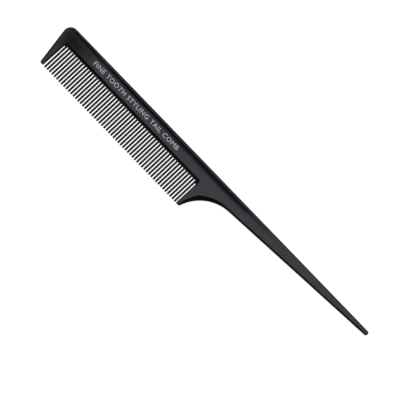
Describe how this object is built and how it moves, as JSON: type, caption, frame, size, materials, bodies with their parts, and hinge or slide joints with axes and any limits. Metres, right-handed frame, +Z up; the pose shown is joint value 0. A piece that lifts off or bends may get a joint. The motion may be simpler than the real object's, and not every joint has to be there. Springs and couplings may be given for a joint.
{
  "type": "rat tail comb",
  "caption": "Flat moulded styling comb with a row of fine teeth between two guard teeth, a beaded hollow back and a long tapering tail for parting hair.",
  "frame": {"origin": "bottom centre of the whole comb lying flat, on the plane its back bead rests on", "axes": "+X along the comb from the front guard to the tip of the tail, +Y across it from the tooth tips to the back, +Z up through its thickness"},
  "size_m": [0.2164, 0.0248, 0.0038],
  "materials": {
    "moulding": "satin black",
    "print": "flat white ink"
  },
  "bodies": {
    "root": {"spine": "moulding", "front_guard": "moulding", "rear_guard": "moulding", "tail": "moulding", "tooth_01": "moulding", "tooth_02": "moulding", "tooth_03": "moulding", "tooth_04": "moulding", "tooth_05": "moulding", "tooth_06": "moulding", "tooth_07": "moulding", "tooth_08": "moulding", "tooth_09": "moulding", "tooth_10": "moulding", "tooth_11": "moulding", "tooth_12": "moulding", "tooth_13": "moulding", "tooth_14": "moulding", "tooth_15": "moulding", "tooth_16": "moulding", "tooth_17": "moulding", "tooth_18": "moulding", "tooth_19": "moulding", "tooth_20": "moulding", "tooth_21": "moulding", "tooth_22": "moulding", "tooth_23": "moulding", "tooth_24": "moulding", "tooth_25": "moulding", "tooth_26": "moulding", "tooth_27": "moulding", "tooth_28": "moulding", "tooth_29": "moulding", "tooth_30": "moulding", "tooth_31": "moulding", "tooth_32": "moulding", "tooth_33": "moulding", "tooth_34": "moulding", "tooth_35": "moulding", "tooth_36": "moulding", "tooth_37": "moulding", "tooth_38": "moulding", "tooth_39": "moulding", "tooth_40": "moulding", "tooth_41": "moulding", "tooth_42": "moulding", "tooth_43": "moulding", "tooth_44": "moulding", "tooth_45": "moulding", "tooth_46": "moulding", "tooth_47": "moulding", "tooth_48": "moulding", "tooth_49": "moulding", "tooth_50": "moulding", "tooth_51": "moulding", "tooth_52": "moulding", "tooth_53": "moulding", "tooth_54": "moulding", "tooth_55": "moulding", "tooth_56": "moulding"}
  },
  "joints": []
}
